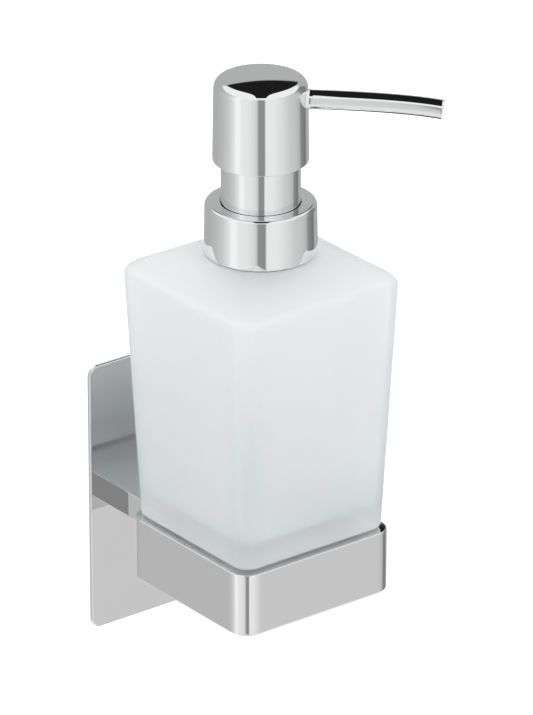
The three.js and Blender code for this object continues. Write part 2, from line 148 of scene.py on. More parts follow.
class BottleSizes(PropertyGroup):
    rim_width: a_length("Width at the rim", "Across the flats, level with the band's top", 56.2)
    flare: a_number("Flare", "Growth of the width per height", 0.083)
    corner: a_length("Corner", "Corner radius of the body", 5.2)
    wall: a_length("Wall", "Thickness of the glass", 3)
    base: a_length("Base", "Thickness of the glass above the foot", 7.5)
    foot_rounding: a_length("Foot rounding", "Rounding round the foot", 1.3)
    plug_inset: a_length("Plug inset", "Step in from the foot to the plug", 5.5)
    plug_corner: a_length("Plug corner", "Corner radius of the plug", 3.2)
    shoulder_rise: a_length("Shoulder rise", "From shoulder edge to neck", 7.3)
    shoulder_rounding: a_length("Shoulder rounding", "Rounding of the shoulder's edge", 3)
    shoulder_radius: a_length("Shoulder land", "Where the slope meets the neck's land", 17.8)
    neck_radius: a_length("Neck radius", "Outside of the neck", 12.6)
    neck_bore: a_length("Neck bore", "Radius of the neck's opening", 9.6)
    thread_pitch: a_length("Thread pitch", "Rise of the thread in one turn", 4)
    thread_start: a_length("Thread start", "Thread's start above the neck's base", 3.2)
    thread_turns: a_number("Thread turns", "Turns of the thread", 0.92)


class PumpSizes(PropertyGroup):
    shell_wall: a_length("Shell wall", "Thickness of the chromed shells", 1)
    collar_taper: a_length("Collar taper", "Narrowing of the collar's top", 0.25)
    collar_rounding: a_length("Collar rounding", "Rounding of the collar's top edge", 1.2)
    sleeve_radius: a_length("Sleeve radius", "Outside of the guide sleeve", 12.25)
    sleeve_wall: a_length("Sleeve wall", "Thickness of the guide sleeve", 0.9)
    bore: a_length("Chamber bore", "Radius of the pump's chamber", 7)
    tube_radius: a_length("Dip tube radius", "Outside of the dip tube", 2.5)
    stem_radius: a_length("Stem radius", "Outside of the stem", 3.5)
    stem_bore: a_length("Stem bore", "Radius of the stem's bore", 2)
    wire: a_length("Spring wire", "Thickness of the spring's wire", 0.8)
    spring_turns: IntProperty(name="Spring turns", description="Turns of the spring", default=7)


class HeadSizes(PropertyGroup):
    bottom_radius: a_length("Bottom radius", "Radius of the head's lower edge", 14.8)
    top_radius: a_length("Top radius", "Radius under the crown's rounding", 14.4)
    rounding: a_length("Crown rounding", "Rounding between the side and the crown", 3)
    crown: a_length("Crown", "Rise of the crown inside its rounding", 0.6)
    spout_radius: a_length("Spout radius", "Outside of the spout's tube", 3)
    spout_wall: a_length("Spout wall", "Thickness of the spout's tube", 0.6)
    spout_below: a_length("Spout below crown", "From the crown down to the spout's axis", 6.7)
    spout_reach: a_length("Spout reach", "From the pump's axis to the open end", 55.5)
    spout_root: a_length("Spout root", "Where the tube starts, from the pump's axis", 8)
    spout_bend: a_length("Spout bend", "Droop's middle point, from the axis", 42)
    bend_drop: a_length("Bend drop", "Drop of the droop's middle point", -0.6)
    spout_drop: a_length("Spout drop", "Drop of the open end below the root", 1.5)
    spout_flare: a_length("Spout flare", "Growth of the tube at the head", 0.5)
    spout_turned: an_angle("Spout turned", "Turn of the spout from +X", -44)


class Finishes(PropertyGroup):
    chrome: a_colour("Chrome", "Bright plating", (0.88, 0.885, 0.89))
    steel: a_colour("Steel", "Polished steel", (0.86, 0.86, 0.862))
    spring: a_colour("Spring steel", "Drawn wire", (0.56, 0.56, 0.57))
    glass: a_colour("Glass", "Etched glass", (0.93, 0.94, 0.945))
    # The colour of the painted shade on the glass: above the base, towards the bottom and along the upright
    # corners.
    glass_painted_shade: a_colour("Deep glass", "Where the glass is thick", (0.74, 0.79, 0.79))
    white: a_colour("White plastic", "Moulded white plastic", (0.86, 0.86, 0.84))
    natural: a_colour("Natural plastic", "Uncoloured plastic", (0.74, 0.77, 0.77))
    foam: a_colour("Foam", "Adhesive foam", (0.2, 0.205, 0.21))
    gasket: a_colour("Gasket", "Soft grey gasket", (0.42, 0.42, 0.41))
    etch: a_number("Etch", "Roughness of the etched glass, from 0 to 1", 0.5)


class Studio(PropertyGroup):
    azimuth: an_angle("Camera azimuth", "Turn of the view about the bottle", -37.59)
    elevation: an_angle("Camera elevation", "How far the camera looks down", 24.12)
    distance: a_length("Camera distance", "From the band's rim to the camera", 2000)
    lens: a_number("Lens", "Focal length in millimetres", 322.4)
    aim_right: a_length("Aim right", "View's middle, right of the rim's centre", 1.75)
    aim_up: a_length("Aim up", "View's middle, above the rim's centre", 50.8)
    floor_drop: a_length("Floor drop", "Depth of the floor below the holder", 300)
    floor_colour: a_colour("Floor", "Pale floor", (0.93, 0.93, 0.93))
    backdrop: a_number("Backdrop", "Brightness behind everything", 1.0)
    soft_light: a_number("Soft light", "Brightness of the soft light", 1.36)


class DispenserSettings(PropertyGroup):
    holder: PointerProperty(type=HolderSizes)
    bottle: PointerProperty(type=BottleSizes)
    pump: PointerProperty(type=PumpSizes)
    head: PointerProperty(type=HeadSizes)
    finishes: PointerProperty(type=Finishes)
    studio: PointerProperty(type=Studio)


# ---------------- outlines


def rounded_outline(corners, closed=True):
    """Points of an outline whose corners are (across, height) or (across, height, rounding)."""
    points = [Vector(corner[:2]) for corner in corners]
    count = len(points)
    outline = []
    for i, corner in enumerate(corners):
        at = points[i]
        rounding = corner[2] if len(corner) == 3 else 0
        if not rounding or (not closed and i in (0, count - 1)):
            outline.append(at)
            continue
        back = (points[i - 1] - at).normalized()
        ahead = (points[(i + 1) % count] - at).normalized()
        half = back.angle(ahead) / 2
        reach = rounding / tan(half)
        centre = at + (back + ahead).normalized() * (rounding / sin(half))
        start = at + back * reach - centre
        turn = start.angle_signed(at + ahead * reach - centre)
        outline.append(at + back * (reach + MARGIN))
        for step in range(ROUND_STEPS + 1):
            spoke = start.copy()
            spoke.rotate(Matrix.Rotation(-turn * step / ROUND_STEPS, 2))
            outline.append(centre + spoke)
        outline.append(at + ahead * (reach + MARGIN))
    return outline


# ---------------- shapes


def turned(corners, closed=True):
    """A shape turned about the pump's axis from an outline of (radius, height) corners."""
    outline = rounded_outline(corners, closed)
    shape = bmesh.new()
    vertices = [shape.verts.new((across, 0, height)) for across, height in outline]
    pairs = list(zip(vertices, vertices[1:]))
    if closed:
        pairs.append((vertices[-1], vertices[0]))
    edges = [shape.edges.new(pair) for pair in pairs]
    bmesh.ops.spin(
        shape, geom=vertices + edges, cent=(0, 0, 0), axis=(0, 0, 1), angle=2 * pi, steps=TURN_STEPS,
        use_merge=True,
    )
    return shape


def extrude_through(shape, key, places, closed):
    """Extrudes the ring in shape through places. Each place gives a vertex's position from its key."""
    ring = shape.edges[:]
    for vertex in shape.verts:
        vertex.co = places[0](vertex[key])
    first = ring
    for place in places[1:] + places[:1] * closed:
        made = bmesh.ops.extrude_edge_only(shape, edges=ring)["geom"]
        moved = {item for item in made if isinstance(item, bmesh.types.BMVert)}
        ring = [
            item for item in made if isinstance(item, bmesh.types.BMEdge) and moved.issuperset(item.verts)
        ]
        for vertex in moved:
            vertex.co = place(vertex[key])
    if not closed:
        bmesh.ops.edgeloop_fill(shape, edges=first)
        bmesh.ops.edgeloop_fill(shape, edges=ring)


def square_turned(levels, closed=False):
    """A shape through levels of (half width, half depth, corner, height), each a rounded rectangle."""
    shape = bmesh.new()
    key = shape.verts.layers.int.new("key")
    grid = bmesh.ops.create_grid(shape, x_segments=1, y_segments=1, size=1)
    bmesh.ops.bevel(
        shape, geom=grid["verts"], offset=0.5, offset_type="OFFSET", affect="VERTICES",
        segments=CORNER_STEPS, profile=0.5, material=-1,
    )
    bmesh.ops.delete(shape, geom=shape.faces[:], context="FACES_ONLY")
    straight = [edge for edge in shape.edges if edge.calc_length() > 0.5]
    bmesh.ops.subdivide_edges(shape, edges=straight, cuts=2)
    spokes = []
    for number, vertex in enumerate(shape.verts):
        vertex[key] = number
        side = Vector((copysign(1, vertex.co.x), copysign(1, vertex.co.y)))
        spoke = (vertex.co.xy - side / 2) * 2
        along = Vector((0, 0))
        if abs(vertex.co.x) < 0.4:
            spoke, along = Vector((0, side.y)), Vector((-side.x, 0))
        elif abs(vertex.co.y) < 0.4:
            spoke, along = Vector((side.x, 0)), Vector((0, -side.y))
        spokes.append((side, spoke, along))

    def placed(level):
        half_width, half_depth, corner, height = level
        flat = Vector((half_width - corner, half_depth - corner))
        margin = min(3 * MARGIN, flat.x / 2, flat.y / 2)

        def place(number):
            side, spoke, along = spokes[number]
            return (side * flat + spoke * corner + along * margin).to_3d() + Vector((0, 0, height))

        return place

    extrude_through(shape, key, [placed(level) for level in levels], closed)
    return shape


def slab(half_width, half_depth, corner, thickness, bottom_edge, top_edge):
    """A flat slab with rounded corners and rounded edges, from height 0 up."""
    deep = max(bottom_edge, top_edge) + 2 * MARGIN
    edge = [(deep, 0), (0, 0, bottom_edge), (0, thickness, top_edge), (deep, thickness)]
    return square_turned(
        [
            (half_width - inset, half_depth - inset, corner - inset, height)
            for inset, height in rounded_outline(edge, closed=False)
        ]
    )


def swept(rings, sides, closed=False):
    """A round shape through rings of (matrix, radius), each a circle about its matrix's local z."""
    shape = bmesh.new()
    key = shape.verts.layers.int.new("key")
    bmesh.ops.create_circle(shape, segments=sides, radius=1, cap_ends=False)
    spokes = []
    for number, vertex in enumerate(shape.verts):
        vertex[key] = number
        spokes.append(vertex.co.copy())

    def placed(matrix, radius):
        return lambda number: matrix @ (spokes[number] * radius)

    extrude_through(shape, key, [placed(*ring) for ring in rings], closed)
    return shape


def facing(place, ahead, side):
    """A matrix at place whose local z looks ahead and whose local x is as near to side as it can be."""
    forward = ahead.normalized()
    across = (side - forward * side.dot(forward)).normalized()
    turned_to = Matrix((across, forward.cross(across), forward)).transposed().to_4x4()
    return Matrix.Translation(place) @ turned_to


def coiled(radius, wire, bottom, rise, turns, per_turn=36, sides=14):
    """A wire wound about the axis, with tapered ends."""
    steps = int(turns * per_turn)
    rings = []
    for step in range(steps + 1):
        angle = 2 * pi * turns * step / steps
        place = Vector((radius * cos(angle), radius * sin(angle), bottom + rise * step / steps))
        ahead = Vector((-radius * sin(angle), radius * cos(angle), rise / (2 * pi * turns)))
        near_end = min(step, steps - step)
        rings.append((facing(place, ahead, Vector((0, 0, 1))), wire * min(1, 0.25 + near_end * 0.375)))
    return swept(rings, sides)


def mesh_of(name, shape):
    """Turns shape into a mesh and frees it."""
    mesh = bpy.data.meshes.new(name)
    shape.to_mesh(mesh)
    shape.free()
    return mesh


def put(name, data):
    """Adds an object to the scene."""
    made = bpy.data.objects.new(name, data)
    bpy.context.scene.collection.objects.link(made)
    return made


def add_piece(name, node, shape, place=ON_AXIS, sharp=35):
    """Makes shape a finished piece that stands for a node of the frame."""
    bmesh.ops.remove_doubles(shape, verts=shape.verts, dist=0.002 * MM)
    bmesh.ops.transform(shape, matrix=place, verts=shape.verts)
    bmesh.ops.recalc_face_normals(shape, faces=shape.faces)
    mesh = mesh_of(name, shape)
    mesh.shade_smooth()
    mesh.set_sharp_from_angle(angle=radians(sharp))
    mesh.materials.append(finish(SLOT_OF[node]))
    piece = put(name, mesh)
    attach(piece, BODY_OF[node])
    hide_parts(node)
    return piece


def joined(shape, other):
    """Adds the faces of other to shape."""
    carrier = mesh_of("carrier", other)
    shape.from_mesh(carrier)
    bpy.data.meshes.remove(carrier)
    return shape


# ---------------- shader effects


def feed(tree, socket, value):
    """Links value to the socket if it is an output, and otherwise sets it."""
    if isinstance(value, NodeSocket):
        tree.links.new(value, socket)
    else:
        socket.default_value = value


def add_node(tree, kind, inputs=(), **settings):
    """Adds a shader node, sets its attributes, and feeds its inputs by name or number."""
    made = tree.nodes.new("ShaderNode" + kind)
    for name, value in settings.items():
        setattr(made, name, value)
    for name, value in dict(inputs).items():
        feed(tree, made.inputs[name], value)
    return made


def calculated(tree, operation, *values):
    return add_node(tree, "Math", dict(enumerate(values)), operation=operation).outputs["Value"]


def ranged(tree, value, start, end, low=0, high=1, kind="LINEAR"):
    """A value carried from the range start to end over to the range low to high."""
    inputs = {"Value": value, "From Min": start, "From Max": end, "To Min": low, "To Max": high}
    return add_node(tree, "MapRange", inputs, interpolation_type=kind).outputs["Result"]


def ramped(tree, value, stops, kind="LINEAR"):
    """A level that follows value through stops of (position, level), the first at 0 and the last at 1."""
    ramp = add_node(tree, "ValToRGB", {"Fac": value})
    ramp.color_ramp.interpolation = kind
    elements = ramp.color_ramp.elements
    for position, level in stops[1:-1]:
        elements.new(position)
    for element, (position, level) in zip(elements, stops):
        element.color = (level, level, level, 1)
    return ramp.outputs["Color"]


def mixed(tree, factor, first, second):
    """A value between first and second by factor, each a socket or a number."""
    return add_node(tree, "Mix", {0: factor, 2: first, 3: second}, data_type="FLOAT").outputs[0]


def tint(tree, mask, low, high):
    """A colour between low and high by mask."""
    return add_node(tree, "Mix", {0: mask, 6: (*low, 1), 7: (*high, 1)}, data_type="RGBA").outputs[2]


def noise(tree, vector, scale, detail, roughness=0.5):
    inputs = {"Vector": vector, "Scale": scale, "Detail": detail, "Roughness": roughness}
    return add_node(tree, "TexNoise", inputs).outputs["Fac"]


def smudges(tree, given):
    """Faint uneven cloudiness, as on handled metal: a value that drifts between Low and High."""
    cloud = noise(tree, given["Vector"], given["Scale"], 5, 0.6)
    return {"Value": ranged(tree, cloud, 0.35, 0.7, given["Low"], given["High"], "SMOOTHSTEP")}


def hairlines(tree, given):
    """Fine polishing lines along local z, as a height and a mask."""
    stretch = add_node(tree, "CombineXYZ", {"X": 1, "Y": 1, "Z": given["Stretch"]}).outputs[0]
    drawn = add_node(tree, "VectorMath", {0: given["Vector"], 1: stretch}, operation="MULTIPLY").outputs[0]
    fine = noise(tree, drawn, given["Scale"], 3, 0.7)
    return {"Height": fine, "Mask": ranged(tree, fine, 0.56, 0.75)}


def grain(tree, given):
    """A fine even grain, as of moulded plastic or etched glass, with a slow mottle beside it."""
    fine = noise(tree, given["Vector"], given["Scale"], 2)
    return {"Height": fine, "Mottle": noise(tree, given["Vector"], given["Mottle scale"], 4)}


def cells(tree, given):
    """Small open cells, as of a foam tape."""
    inputs = {"Vector": given["Vector"], "Scale": given["Scale"]}
    far = add_node(tree, "TexVoronoi", inputs).outputs["Distance"]
    return {"Height": far, "Mask": ranged(tree, far, 0.15, 0.6)}


# Each effect's maker, and what it takes beside a Vector.
EFFECTS = {
    "Smudges": (smudges, {"Scale": 90, "Low": 0, "High": 1}),
    "Hairlines": (hairlines, {"Scale": 2500, "Stretch": 0.02}),
    "Grain": (grain, {"Scale": 3000, "Mottle scale": 60}),
    "Cells": (cells, {"Scale": 1800}),
}


def effect_group(name):
    """Makes the shader node group of an effect."""
    make, inputs = EFFECTS[name]
    tree = bpy.data.node_groups.new(name, "ShaderNodeTree")
    add_socket = tree.interface.new_socket
    add_socket("Vector", in_out="INPUT", socket_type="NodeSocketVector")
    for label, default in inputs.items():
        add_socket(label, in_out="INPUT", socket_type="NodeSocketFloat").default_value = default
    results = make(tree, tree.nodes.new("NodeGroupInput").outputs)
    ends = tree.nodes.new("NodeGroupOutput").inputs
    for label, value in results.items():
        add_socket(label, in_out="OUTPUT", socket_type="NodeSocketFloat")
        tree.links.new(value, ends[label])
    return tree


def add_effect(tree, name, inputs):
    """Adds an effect's group, made the first time it is asked for, and returns its outputs."""
    group = bpy.data.node_groups.get(name) or effect_group(name)
    return add_node(tree, "Group", inputs, node_tree=group).outputs


# ---------------- finishes


MADE = {}


def new_finish(slot, constants):
    """A material with its shader's constants set. Returns its tree, the shader's inputs and the vector."""
    material = MADE[slot] = bpy.data.materials.new(slot)
    material.use_nodes = True
    tree = material.node_tree
    inputs = tree.nodes["Principled BSDF"].inputs
    for name, value in constants.items():
        inputs[name].default_value = value
    return tree, inputs, add_node(tree, "TexCoord").outputs["Object"]


def bump(tree, inputs, height, depth, strength):
    made = add_node(tree, "Bump", {"Height": height, "Distance": depth, "Strength": strength})
    tree.links.new(made.outputs["Normal"], inputs["Normal"])


def scaled(colour, share):
    return tuple(channel * share for channel in colour)


def bright_metal(slot, colour, low, high, line_depth, stretch):
    """Plated or polished metal: cloudy gloss, fine polishing lines and a barely uneven surface."""
    tree, inputs, vector = new_finish(slot, {"Metallic": 1.0})
    gloss = add_effect(tree, "Smudges", {"Vector": vector, "Scale": 70, "Low": low, "High": high})
    lines = add_effect(tree, "Hairlines", {"Vector": vector, "Scale": 2600, "Stretch": stretch})
    tree.links.new(tint(tree, lines["Mask"], colour, scaled(colour, 0.975)), inputs["Base Color"])
    tree.links.new(gloss["Value"], inputs["Roughness"])
    bump(tree, inputs, lines["Height"], line_depth, 0.3)


# Painted shade on the glass, from 0 to 1, by height in millimetres above the band: darkest in a band just
# above the thick base, and darker towards the bottom.
GLASS_PAINTED_SHADE = ((0, 0), (4, 0.15), (8.5, 0.7), (13, 0.4), (25, 0.3), (50, 0.18), (75, 0.02), (95, 0.06))
# Painted shade along the upright corners too, strongest low down: by distance from the axis along X plus
# along Y, in half widths, and by height above the band. Its depth is the strength of the painted shade.
CORNER_PAINTED_SHADE = {"starts": 1.45, "full": 1.9, "depth": 0.5, "full_below": 15 * MM, "gone_above": 80 * MM}


def etched_glass(slot, finishes):
    """Acid etched glass: a fine satin grain, with painted shade in a band above the thick base, towards the
    bottom and along the upright corners.
    """
    constants = {"Transmission Weight": 0.6, "IOR": 1.48, "Roughness": finishes.etch}
    tree, inputs, vector = new_finish(slot, constants)
    etch = add_effect(tree, "Grain", {"Vector": vector, "Scale": 5200, "Mottle scale": 35})
    place = add_node(tree, "SeparateXYZ", {"Vector": vector}).outputs
    tallest = GLASS_PAINTED_SHADE[-1][0]
    share = ranged(tree, place["Z"], BAND.top, BAND.top + tallest * MM)
    # depth here is the painted shade by height above the band
    depth = ramped(tree, share, [(height / tallest, depth) for height, depth in GLASS_PAINTED_SHADE], "B_SPLINE")
    sides = [
        calculated(tree, "ABSOLUTE", calculated(tree, "SUBTRACT", place[axis], AXIS["XY".index(axis)]))
        for axis in "XY"
    ]
    reach, low, high = BOTTLE.radius, CORNER_PAINTED_SHADE["full_below"], CORNER_PAINTED_SHADE["gone_above"]
    starts, full = reach * CORNER_PAINTED_SHADE["starts"], reach * CORNER_PAINTED_SHADE["full"]
    across = calculated(tree, "ADD", *sides)
    # corner here is the painted shade along the upright corners
    corner = ranged(tree, across, starts, full, 0, CORNER_PAINTED_SHADE["depth"], "SMOOTHSTEP")
    lower = ranged(tree, place["Z"], BAND.top + low, BAND.top + high, 1, 0)
    # deep here is all the painted shade: the corners' and the height band's
    deep = calculated(tree, "MULTIPLY_ADD", corner, lower, depth)
    mottled = calculated(tree, "MULTIPLY_ADD", etch["Mottle"], 0.25, deep)
    centred = add_node(tree, "Math", {0: mottled, 1: 0.125}, operation="SUBTRACT", use_clamp=True)
    # The glass colour is mixed towards the colour of its painted shade.
    colour = tint(tree, centred.outputs["Value"], finishes.glass, finishes.glass_painted_shade)
    tree.links.new(colour, inputs["Base Color"])
    bump(tree, inputs, etch["Height"], 0.004 * MM, 0.4)


def moulded(slot, colour, roughness, scale, depth):
    """Moulded plastic or rubber: a fine grain, a slow mottle and a drifting gloss."""
    tree, inputs, vector = new_finish(slot, {})
    skin = add_effect(tree, "Grain", {"Vector": vector, "Scale": scale, "Mottle scale": 120})
    tree.links.new(tint(tree, skin["Mottle"], scaled(colour, 0.95), colour), inputs["Base Color"])
    drift = {"Vector": vector, "Scale": 160, "Low": roughness - 0.05, "High": roughness + 0.08}
    tree.links.new(add_effect(tree, "Smudges", drift)["Value"], inputs["Roughness"])
    bump(tree, inputs, skin["Height"], depth, 0.5)


def foam_tape(slot, colour):
    """Closed foam with small cells."""
    tree, inputs, vector = new_finish(slot, {"Roughness": 0.9})
    foam = add_effect(tree, "Cells", {"Vector": vector, "Scale": 1800})
    tree.links.new(tint(tree, foam["Mask"], scaled(colour, 0.6), colour), inputs["Base Color"])
    bump(tree, inputs, foam["Height"], 0.1 * MM, 0.8)


def finish(slot):
    """The material of a slot, made the first time it is asked for."""
    if slot not in MADE:
        finishes = bpy.context.scene.dispenser.finishes
        make, *values = {
            "chrome_shell": (bright_metal, finishes.chrome, 0.012, 0.035, 0.0006 * MM, 0.3),
            "polished_steel": (bright_metal, finishes.steel, 0.035, 0.08, 0.002 * MM, 0.02),
            "spring_steel": (bright_metal, finishes.spring, 0.22, 0.34, 0.004 * MM, 1),
            "frosted_glass": (etched_glass, finishes),
            "white_plastic": (moulded, finishes.white, 0.38, 2400, 0.01 * MM),
            "natural_plastic": (moulded, finishes.natural, 0.3, 1800, 0.008 * MM),
            "grey_gasket": (moulded, finishes.gasket, 0.65, 1500, 0.02 * MM),
            "foam_adhesive": (foam_tape, finishes.foam),
        }[slot]
        make(slot, *values)
    return MADE[slot]


# ---------------- wall holder


def half_width(sizes, height):
    """Half the bottle's width across the flats at a height."""
    return (sizes.rim_width + sizes.flare * (height - BAND.top)) / 2


def plug_half(sizes):
    return half_width(sizes, BAND.top + SEAM) - sizes.plug_inset


def against_wall(extent, back):
    """Stands a slab up: its height becomes depth towards the user, from the plane y = back."""
    middle = Vector((extent.middle.x, back, extent.middle.z))
    return Matrix.Translation(middle) @ Matrix.Rotation(pi / 2, 4, "X")


class DISPENSER_OT_holder(Operator):
    """Makes the pad, plate, arm, band and floor that hold the bottle"""

    bl_idname = "dispenser.holder"
    bl_label = "Wall holder"

    def execute(self, context):
        sizes, bottle = context.scene.dispenser.holder, context.scene.dispenser.bottle
        half = PAD.size / 2
        tape = slab(half.x, half.z, sizes.plate_corner, PAD.size.y, CRISP, CRISP)
        add_piece("foam_pad", "adhesive_pad", tape, against_wall(PAD, PAD.high.y))

        half = PLATE.size / 2
        sheet = slab(half.x, half.z, sizes.plate_corner, PLATE.size.y, 0.15 * MM, sizes.plate_edge)
        add_piece("wall_plate", "back_plate", sheet, against_wall(PLATE, PLATE.high.y))

        half = ARM.size / 2
        reach = PLATE.low.y - BAND.high.y
        bar = slab(half.x, half.z, sizes.arm_edge, reach, 0, 0)
        add_piece("arm_bar", "bracket_arm", bar, against_wall(ARM, PLATE.low.y))

        half = BAND.size / 2
        wall, edge, corner = sizes.band_wall, sizes.band_edge, sizes.band_corner
        opening = plug_half(bottle) + sizes.plug_room
        depth, under = half.x - opening, BAND.top - sizes.band_flange
        section = rounded_outline([
            (wall, BAND.bottom), (0, BAND.bottom, sizes.band_foot), (0, BAND.top - sizes.band_slope, edge),
            (depth, BAND.top, FINE), (depth, under), (wall, under, SOFT),
        ])
        opening_corner = bottle.plug_corner + sizes.plug_room
        levels = []
        for inset, height in section:
            share = min(1, max(0, (inset - wall) / (depth - wall)))
            tight = (corner - min(inset, wall)) * (1 - share) + opening_corner * share
            levels.append((half.x - inset, half.y - inset, tight, height))
        add_piece("square_band", "holder_band", square_turned(levels, closed=True))

        inner, corner = half.x - wall, sizes.band_corner - wall
        hole, edge = sizes.drain_radius, 0.3 * MM
        levels = [
            (inner, inner, corner, TRAY.bottom),
            (inner, inner, corner, TRAY.top),
            (hole + edge, hole + edge, hole + edge, TRAY.top),
            (hole, hole, hole, TRAY.top - edge),
            (hole, hole, hole, TRAY.bottom),
        ]
        add_piece("floor_sheet", "holder_floor", square_turned(levels, closed=True))
        return {"FINISHED"}


# ---------------- bottle


def finely(outline, step=2 * MM):
    """The outline with extra points, no more than step apart."""
    fine = [outline[0]]
    for start, end in zip(outline, outline[1:]):
        pieces = max(1, round((end - start).length / step))
        fine += [start.lerp(end, (i + 1) / pieces) for i in range(pieces)]
    return fine


def corner_between(half, edge, edge_corner, land):
    """The corner radius where a rounded square at edge shrinks to a circle at land."""
    share = min(1, max(0, (edge - half) / (edge - land)))
    return min(half, edge_corner + (land - edge_corner) * share)


def thread(sizes, radius, ridge, base):
    """The ridge of a thread whose neck starts at base."""
    rise = sizes.thread_pitch * sizes.thread_turns
    return coiled(radius, ridge, base + sizes.thread_start, rise, sizes.thread_turns, 72)


class DISPENSER_OT_bottle(Operator):
    """Makes the square glass bottle with its shoulders, neck and thread"""

    bl_idname = "dispenser.bottle"
    bl_label = "Glass bottle"

    def execute(self, context):
        sizes = context.scene.dispenser.bottle
        neck_z = COLLAR.bottom - SEAM
        shoulder_z = neck_z - sizes.shoulder_rise
        foot_z = BAND.top + SEAM
        floor_z = foot_z + sizes.base

        def half_at(height):
            return half_width(sizes, height)

        plug, corner = plug_half(sizes), sizes.plug_corner
        under = rounded_outline(
            [(plug - 2 * MM, BOTTLE.bottom), (plug, BOTTLE.bottom, 0.6 * MM), (plug, foot_z)], closed=False
        )
        levels = [(half, half, corner - min(plug - half, 1 * MM) / 2, height) for half, height in under]
        edge, land, neck = half_at(shoulder_z), sizes.shoulder_radius, sizes.neck_radius
        outside = rounded_outline([
            (half_at(foot_z) - sizes.foot_rounding - 1 * MM, foot_z),
            (half_at(foot_z), foot_z, sizes.foot_rounding), (edge, shoulder_z, sizes.shoulder_rounding),
            (land, neck_z, 1.5 * MM), (neck, neck_z, ROUND), (neck, BOTTLE.top, ROUND),
            (sizes.neck_bore, BOTTLE.top),
        ], closed=False)
        inner_corner = sizes.corner - sizes.wall + 1.5 * MM
        inner_edge, inner_z = half_at(shoulder_z) - sizes.wall, shoulder_z - 1.5 * MM
        inside = rounded_outline([
            (sizes.neck_bore, BOTTLE.top), (sizes.neck_bore, neck_z - sizes.wall, 1.5 * MM),
            (inner_edge, inner_z, 2 * MM), (half_at(floor_z) - sizes.wall, floor_z, 2 * MM),
            (half_at(floor_z) - sizes.wall - 4 * MM, floor_z),
        ], closed=False)
        for half, height in finely(outside):
            corner = corner_between(half, edge, sizes.corner, land)
            if height < shoulder_z - sizes.shoulder_rounding:
                corner = sizes.corner - (half_at(height) - half) / 2
            levels.append((half, half, corner, height))
        for half, height in finely(inside)[1:]:
            corner = corner_between(half, inner_edge, inner_corner, sizes.neck_bore)
            if height < inner_z - 2 * MM:
                corner = inner_corner
            levels.append((half, half, corner, height))
        body = square_turned(levels)
        add_piece("glass_bottle", "bottle", joined(body, thread(sizes, neck, 1 * MM, neck_z)))
        return {"FINISHED"}


# ---------------- closure


def fluted(shape, radius, depth, flutes):
    """Presses shallow flutes into the wall of a turned shape that lies at radius."""
    for vertex in shape.verts:
        across = vertex.co.xy.length
        if abs(across - radius) < 0.01 * MM:
            angle = atan2(vertex.co.y, vertex.co.x)
            pressed = across - depth * (1 + cos(flutes * angle)) / 2
            vertex.co.xy *= pressed / across
    return shape


class DISPENSER_OT_closure(Operator):
    """Makes the screw closure: its threaded cap, the chromed collar and the guide sleeve"""

    bl_idname = "dispenser.closure"
    bl_label = "Screw closure"

    def execute(self, context):
        sizes, bottle = context.scene.dispenser.pump, context.scene.dispenser.bottle
        bore, hole, top = CAP.radius - 1.7 * MM, CHAPLET.radius + SEAM, CAP.top
        cap = turned([
            (bore, CAP.bottom), (CAP.radius, CAP.bottom, SOFT), (CAP.radius, top, ROUND),
            (hole, top), (hole, top - 1 * MM), (bore, top - 1 * MM, SOFT),
        ])
        fluted(cap, CAP.radius, 0.35 * MM, 28)
        ridge = thread(bottle, bore, 0.85 * MM, COLLAR.bottom - SEAM - bottle.thread_pitch / 2)
        add_piece("threaded_cap", "closure_cap", joined(cap, ridge))

        wall, top = sizes.shell_wall, COLLAR.top
        lower, upper, hole = COLLAR.radius, COLLAR.radius - sizes.collar_taper, sizes.sleeve_radius + SEAM
        collar = turned([
            (lower - wall, COLLAR.bottom, 0.15 * MM), (lower, COLLAR.bottom, SOFT),
            (upper, top, sizes.collar_rounding), (hole, top, 0.15 * MM), (hole, top - wall),
            (upper - wall, top - wall, EASED),
        ])
        add_piece("chrome_collar", "collar_shell", collar)

        inner, outer = sizes.sleeve_radius - sizes.sleeve_wall, sizes.sleeve_radius
        flange = COLLAR.top - wall - SEAM
        sleeve = turned([
            (inner, SLEEVE.bottom), (SLEEVE.radius, SLEEVE.bottom), (SLEEVE.radius, flange),
            (outer, flange), (outer, SLEEVE.top, SOFT), (inner, SLEEVE.top, FINE),
        ])
        add_piece("chrome_sleeve", "guide_sleeve", sleeve)
        return {"FINISHED"}


# ---------------- pump


def plain_ring(inner, outer, extent):
    """A washer or a tube as tall as the extent."""
    corners = ((inner, extent.bottom), (outer, extent.bottom), (outer, extent.top), (inner, extent.top))
    return turned([(*corner, CRISP) for corner in corners])


